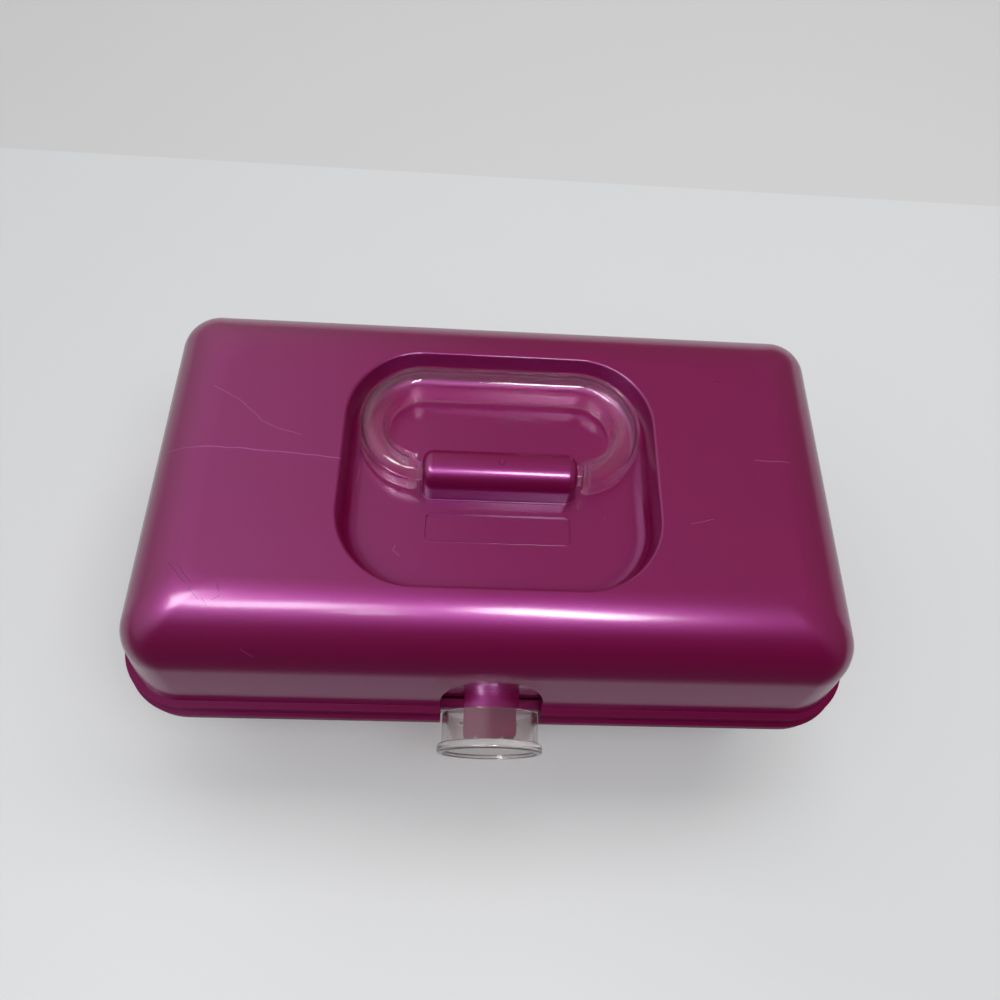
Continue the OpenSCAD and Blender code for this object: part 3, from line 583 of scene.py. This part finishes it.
bmesh.ops.delete(lid, geom=faces_of(BOWL, FLOOR), context="FACES")
rim = open_rim()
arcs = [e for e in rim if 2 < e.calc_length() < 20 and all(
    bowl_inset_of(v.co) < 2 * NEAR and abs(v.co.x) > BOWL_W - BOWL_R - NEAR
    and abs(v.co.y) > BOWL_D - BOWL_R - NEAR for v in e.verts)]
print("rim edges:", len(rim), "of them on the arcs:", len(arcs))
bmesh.ops.bisect_edges(lid, edges=arcs, cuts=1, edge_percents={})
rim = open_rim()
for v in {v for e in rim for v in e.verts}:
    v.co += outwards(v.co) * bowl_inset_of(v.co)
edge_in = BOWL_EDGE / math.cos(BOWL_DRAFT) + (TOP - FLOOR_Z - BOWL_EDGE) * math.tan(BOWL_DRAFT)
ring, before = rim, 0.0
for turn in BOWL_TURNS:
    inset = edge_in - BOWL_EDGE * math.cos(turn)
    height = FLOOR_Z + BOWL_EDGE - BOWL_EDGE * math.sin(turn)
    grown = bmesh.ops.extrude_edge_only(lid, edges=ring)["geom"]
    ring = [g for g in grown if isinstance(g, bmesh.types.BMEdge)]
    for g in grown:
        if isinstance(g, bmesh.types.BMVert):
            g.co -= outwards(g.co) * (inset - before)
            g.co.z = height
        if isinstance(g, bmesh.types.BMFace):
            g[kind] = BOWL
    before = inset
standing = [e for e in lid.edges if e.is_boundary and max(v.co.z for v in e.verts) < FLOOR_Z + NEAR]
filled = bmesh.ops.triangle_fill(lid, edges=standing, use_beauty=True, normal=(0, 0, 1))["geom"]
filled = [g for g in filled if isinstance(g, bmesh.types.BMFace)]
for g in filled:
    g[kind] = FLOOR
print("floor faces:", len(filled))
bmesh.ops.dissolve_limit(lid, angle_limit=math.radians(0.1), verts=[],
                         edges=unique(e for f in filled for e in f.edges))
for g in soften(rim, RIM_SOFT, RIM_STEPS):
    g[kind] = RIM
print("open edges left:", sum(e.is_boundary for e in lid.edges))

# %% [markdown]
# The barrel stands on a low ledge. In the photograph the step from the floor up to the barrel is soft,
# with no hard line. So the points where the barrel's foot meets the ledge move out a little, which makes
# the foot lean, and the ledge's own edge is rounded over most of its height.

# %% The ledge round the barrel
LEDGE_HIGH, LEDGE_R = 0.6, 4.9      # its height over the floor and its corner radius
LEDGE_SOFT, LEDGE_STEPS = 0.4, 4
FOOT_OUT = 0.35                     # how far the barrel's foot moves out
BARREL_Y = 9.5                      # barrel and ledge lie within this, front and back

ledge = [v for v in lid.verts if abs(v.co.z - FLOOR_Z - LEDGE_HIGH) < NEAR
         and abs(v.co.x) < BESIDE_BARREL and abs(v.co.y) < BARREL_Y]
LEDGE_W, LEDGE_D = max(v.co.x for v in ledge), max(v.co.y for v in ledge)
outline = []
for v in ledge:
    out = Vector((max(0, abs(v.co.x) - LEDGE_W + LEDGE_R), max(0, abs(v.co.y) - LEDGE_D + LEDGE_R)))
    if out.length < LEDGE_R - 0.5:
        out = out.normalized() * FOOT_OUT
        v.co += Vector((math.copysign(out.x, v.co.x), math.copysign(out.y, v.co.y), 0))
    else:
        outline.append(v)
step = [e for e in lid.edges if all(v in outline for v in e.verts)]
soften(step, LEDGE_SOFT, LEDGE_STEPS)
print("ledge", round(LEDGE_W, 2), round(LEDGE_D, 2), "edges", len(step))

# %% [markdown]
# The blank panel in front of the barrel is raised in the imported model. The light along its edges in the
# photograph says that it is more likely sunk, so it is let down here and its upper edge is rounded.

# %% The blank panel
PANEL_UP, PANEL_DOWN = 0.9, 0.6     # how high it is packed, how deep it is let down
PANEL_X, PANEL_FRONT, PANEL_BACK = 34, -26, -14
BROW_SOFT, BROW_STEPS = 0.3, 3

panel = [f for f in lid.faces if f.normal.z > 0.999 and all(
    abs(v.co.z - FLOOR_Z - PANEL_UP) < NEAR and abs(v.co.x) < PANEL_X
    and PANEL_FRONT < v.co.y < PANEL_BACK for v in f.verts)]
for v in {v for f in panel for v in f.verts}:
    v.co.z = FLOOR_Z - PANEL_DOWN
border = [e for f in panel for e in f.edges if not all(g in panel for g in e.link_faces)]
sides = unique(g for e in border for g in e.link_faces if g not in panel)
brow = unique(e for g in sides for e in g.edges if min(v.co.z for v in e.verts) > FLOOR_Z - NEAR)
soften(brow, BROW_SOFT, BROW_STEPS)
print("panel faces:", len(panel), "brow edges:", len(brow))

# %% [markdown]
# The flange's upper and lower edges are rounded just enough to catch a thin line of light. Beside the
# latch's pocket and along the hinges they meet other shapes, and there they stay as they are.

# %% The flange's lips
LIP_SOFT, LIP_STEPS = 0.45, 3
LIP_HEIGHTS = PARTING + 0.3, PARTING + FLANGE
POCKET_X, HINGE_Y = 21, 75
STEEP = 1.2                         # in radians: how sharply the faces at an edge turn


def on_lip(v):
    return (abs(inset_of(v.co) + FLANGE_OUT) < 2 * NEAR and abs(v.co.x) > POCKET_X and v.co.y < HINGE_Y
            and min(abs(v.co.z - height) for height in LIP_HEIGHTS) < 0.2)


lips = [e for e in lid.edges if e.is_manifold and e.calc_face_angle(0) > STEEP
        and all(on_lip(v) for v in e.verts) and abs(e.verts[0].co.z - e.verts[1].co.z) < NEAR]
soften(lips, LIP_SOFT, LIP_STEPS, clamp=True)
print("lip edges:", len(lips))

# %% [markdown]
# Some faces take the lid's second, dull finish: the front of the barrel's foot, and the faces at the two
# sides of the keeper, the short arc that the latch snaps over.

# %% Faces with the dull finish
KEEPER_X, KEEPER_FRONT, KEEPER_BACK = 10, -86, -72
KEEPER_LOW, KEEPER_HIGH = PARTING + 5, PARTING + 15


def is_foot(face, at):
    return (FLOOR_Z < at.z < PIVOT_Z and abs(at.x) < LEDGE_W and abs(at.y) < BARREL_Y
            and face.normal.y < -0.9)


def is_keeper(face, at):
    return (face[kind] == 0 and abs(at.x) < KEEPER_X and KEEPER_FRONT < at.y < KEEPER_BACK
            and KEEPER_LOW < at.z < KEEPER_HIGH)


dulled = [f for f in lid.faces
          if is_foot(f, f.calc_center_median()) or is_keeper(f, f.calc_center_median())]
for f in dulled:
    f.material_index = 1
print("dull faces:", len(dulled), "open edges left:", sum(e.is_boundary for e in lid.edges))

# %% [markdown]
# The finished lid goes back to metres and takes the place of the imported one. It rides on the lid, so it
# opens with it. Smooth shading stops at edges sharper than thirty degrees. The normals are weighted by
# the size of the faces, so that the large flat ones stay flat beside their rounded edges.

# %% The lid takes its place
def finish_piece(bm, name, body, slot, *stands_for):
    bmesh.ops.scale(bm, vec=(MM, MM, MM), verts=bm.verts)
    bmesh.ops.recalc_face_normals(bm, faces=bm.faces)
    mesh = bpy.data.meshes.new(name)
    bm.to_mesh(mesh)
    bm.free()
    for spare in ("custom_normal", "kind", "mark"):
        if spare in mesh.attributes:
            mesh.attributes.remove(mesh.attributes[spare])
    mesh.shade_smooth()
    mesh.set_sharp_from_angle(angle=math.radians(30))
    piece = bpy.data.objects.new(name, mesh)
    weights = piece.modifiers.new("large faces stay flat", "WEIGHTED_NORMAL")
    weights.keep_sharp = True
    bpy.context.scene.collection.objects.link(piece)
    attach(piece, body)
    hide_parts(*stands_for)
    print(name, "has", len(mesh.polygons), "faces")
    return piece


lid_piece = finish_piece(lid, "lid_moulding", "lid", "case", "lid_shell")
wear(lid_pearl, lid_piece)
lid_piece.data.materials.append(foot_pearl)

# %% [markdown]
# The handle and the latch are clear styrene. Light goes through them, so they show what is behind them,
# bent at every surface, with bright lines where a wall is seen edge on. A shadow ray passes straight
# through, because a real clear part hardly darkens what is under it. The handle's walls are thin and bend
# light little, so its index of refraction is set lower than the plastic's own. The latch is thicker and a
# little smoky.

# %% Clear moulding
def clear_plastic(name, tint, veil, bend, passes):
    """Veil is the share of milky haze, bend the index of refraction, passes the colour of its shadow."""
    f = Network(bpy.data.materials.new(name))
    glass = f.add("ShaderNodeBsdfPrincipled", {}, {
        "Base Color": tint, "Roughness": f.noise(40, 3) * 0.05 + 0.03, "IOR": bend,
        "Transmission Weight": 1.0, "Coat Weight": 0.35, "Coat Roughness": 0.06, "Coat IOR": 1.55,
        "Normal": f.bump(f.noise(90, 3), 0.00005, 0.6)})
    milk = f.add("ShaderNodeBsdfPrincipled", {}, {
        "Base Color": f.mix(f.noise(30, 3), (0.50, 0.42, 0.48), (0.62, 0.54, 0.60)), "Roughness": 0.5})
    body = f.add("ShaderNodeMixShader", {}, {0: veil, 1: glass, 2: milk})
    through = f.add("ShaderNodeBsdfTransparent", {}, {"Color": passes})
    return f.done(f.add("ShaderNodeMixShader", {}, {0: f.ray("Shadow"), 1: body, 2: through}))


clear = clear_plastic("clear_styrene", tint=(0.935, 0.905, 0.925, 1), veil=0.012, bend=1.25,
                      passes=(0.90, 0.86, 0.88, 1))
smoky = clear_plastic("clear_latch", tint=(0.86, 0.82, 0.80, 1), veil=0.03, bend=1.45,
                      passes=(0.82, 0.78, 0.78, 1))
wear(clear, "handle", "tray_divider_left", "tray_divider_right")
wear(smoky, "latch_button")

# %% [markdown]
# The pins, rivets and screws are plain drawn steel, the mirror is silvered glass, and the sheet behind it
# is grey foam.

# %% Steel, mirror and foam
f = Network(bpy.data.materials.new("drawn_steel"))
lines = f.noise(900, 2, (0.06, 1, 1))
steel = f.done(f.add("ShaderNodeBsdfPrincipled", {}, {
    "Base Color": f.mix(lines, (0.42, 0.42, 0.43), (0.60, 0.60, 0.62)), "Metallic": 1.0,
    "Roughness": lines * 0.12 + 0.24, "Normal": f.bump(lines, 0.00003, 0.4)}))
wear(steel, "hinge_pin_left", "hinge_pin_right", "base_rivets", "tray_rivets", "latch_pin", "mirror_screws")

f = Network(bpy.data.materials.new("silvered_glass"))
haze = f.noise(25, 4)
silver = f.done(f.add("ShaderNodeBsdfPrincipled", {}, {
    "Base Color": f.mix(haze, (0.86, 0.89, 0.90), (0.90, 0.92, 0.93)), "Metallic": 1.0,
    "Roughness": haze * 0.03 + 0.01}))
wear(silver, "mirror_glass")

f = Network(bpy.data.materials.new("foam_sheet"))
cells = f.noise(1400, 3)
foam = f.done(f.add("ShaderNodeBsdfPrincipled", {}, {
    "Base Color": f.mix(cells, (0.05, 0.05, 0.055), (0.11, 0.11, 0.12)), "Roughness": 0.95,
    "Normal": f.bump(cells, 0.0003, 0.7)}))
wear(foam, "mirror_foam")

# %% [markdown]
# The floor is a plain pale desk top. It ends at a straight back edge with a slightly darker wall beyond,
# so the floor is two flat sheets side by side at the same height. Far from the case both fade into the
# plain pale backdrop, as the camera sees them; their light and shadow stay.
#
# The case's front wall mirrors the desk in front of it. In the photograph that image is pale near the
# case and dark from a hand's width on, where the photographer stands, so the desk looks darker in gloss
# than it is.

# %% Floor
BACKDROP = (0.72, 0.72, 0.72, 1)
DESK_BACK = 0.2895                  # the desk's back edge, in metres like everything in this cell
SHADED = (0.03, 0.022, 0.025)       # what gloss shows of the desk under the photographer
SHADED_OVER = 0.08                  # the stretch over which it gets dark
FADE_FROM, FADE_TO = 1.0, 2.0


def sheet(name, corner, opposite, colour, rough, shaded_from=None):
    bm = bmesh.new()
    bmesh.ops.create_grid(bm, x_segments=1, y_segments=1, size=0.5)
    size = Vector(opposite) - Vector(corner)
    bmesh.ops.scale(bm, vec=(size.x, size.y, 1), verts=bm.verts)
    bmesh.ops.translate(bm, vec=(Vector(corner) + size / 2).to_3d(), verts=bm.verts)
    mesh = bpy.data.meshes.new(name)
    bm.to_mesh(mesh)
    bm.free()
    piece = bpy.data.objects.new(name, mesh)
    bpy.context.scene.collection.objects.link(piece)
    f = Network(bpy.data.materials.new(name))
    tone = f.mix(f.noise(6, 3), shade(colour, 0.985), colour)
    if shaded_from is not None:
        in_front = (f.axis("Y") * -1).ramp(shaded_from, shaded_from + SHADED_OVER)
        in_gloss = f.ray("Glossy") * (1 - f.ray("Transmission"))
        tone = f.mix(in_gloss, tone, f.mix(in_front, shade(colour, 0.72), SHADED))
    body = f.add("ShaderNodeBsdfPrincipled", {}, {"Base Color": tone, "Roughness": rough})
    far = f.vector("LENGTH", f.place, out="Value").ramp(FADE_FROM, FADE_TO)
    paper = f.add("ShaderNodeEmission", {}, {"Color": BACKDROP, "Strength": 1.0})
    wear(f.done(f.add("ShaderNodeMixShader", {}, {0: far * f.ray("Camera"), 1: body, 2: paper})), piece)


sheet("desk_top", (-4, -4), (4, DESK_BACK), (0.645, 0.652, 0.655), 0.5, shaded_from=0.125)
sheet("beyond_the_desk", (-4, DESK_BACK), (4, 4), (0.60, 0.597, 0.593), 0.6)

# %% [markdown]
# The case mirrors the room, so what it mirrors matters as much as the light. Each bright or dark place on
# the gloss says where in the room something bright or dark is: the lamps overhead in front make the pale
# band along the front edge, a window on the left lights the left end, and the photographer's dark shape
# in front makes the crimson band under the pale one.
#
# Two of them only show in the gloss and light nothing matt, because the photograph's shadows don't come
# from there. Two large fills do the reverse: they make the soft shadow on the desk and are mirrored
# nowhere.

# %% Lamps
CEILING = 1.32


def lamp(name, at, size, radiance, turn=0, mirrored=True, lights=True):
    """A level rectangle of light; its power follows from its size and from how bright it looks."""
    light = bpy.data.lights.new(name, "AREA")
    light.shape, light.size, light.size_y = "RECTANGLE", size[0], size[1]
    light.energy = radiance * math.pi * size[0] * size[1]
    piece = bpy.data.objects.new(name, light)
    bpy.context.scene.collection.objects.link(piece)
    piece.location = at
    piece.rotation_euler.z = math.radians(turn)
    piece.visible_glossy = piece.visible_transmission = mirrored
    piece.visible_diffuse = lights


lamp("window_left", (-0.74, -0.34, CEILING), (0.40, 0.40), 15, lights=False)
lamp("lamp_left", (-0.42, -0.54, CEILING), (0.32, 0.18), 17, 15)
lamp("lamp_between", (-0.21, -0.52, CEILING), (0.14, 0.16), 8)
lamp("lamp_small", (-0.205, -0.715, CEILING), (0.09, 0.025), 75)
lamp("lamp_right", (0.21, -0.57, CEILING), (0.37, 0.15), 42, -28, lights=False)
lamp("fill_behind", (0.30, 0.62, 1.5), (1.5, 0.6), 4.2, mirrored=False)
lamp("fill_front_right", (0.55, -0.35, 1.4), (0.6, 0.5), 6.5, mirrored=False)

# %% [markdown]
# The rest of the room is a soft gradient in the world: grey overhead, lighter on the left, and dark
# towards the front near the horizon. The camera itself sees the plain backdrop.

# %% Room
world = Network(bpy.data.worlds.new("room"), "Generated")
bpy.context.scene.world = world.owner
x, y, z = (world.axis(name) for name in "XYZ")
left = (x * -1).ramp(-0.05, 0.32)
in_front = (y * -1).ramp(0.45, 0.75)
level = (left * 0.56 + 0.235) * (z.ramp(0.0, 0.5) * 0.5 + 0.5) * (1 - in_front * 0.88)
around = world.add("ShaderNodeBackground", {}, {"Color": (0.97, 0.98, 1.0, 1), "Strength": level})
seen = world.add("ShaderNodeBackground", {}, {"Color": BACKDROP, "Strength": 1.0})
world.done(world.add("ShaderNodeMixShader", {}, {0: world.ray("Camera"), 1: around, 2: seen}), "World")
bpy.context.scene.view_settings.view_transform = "Standard"
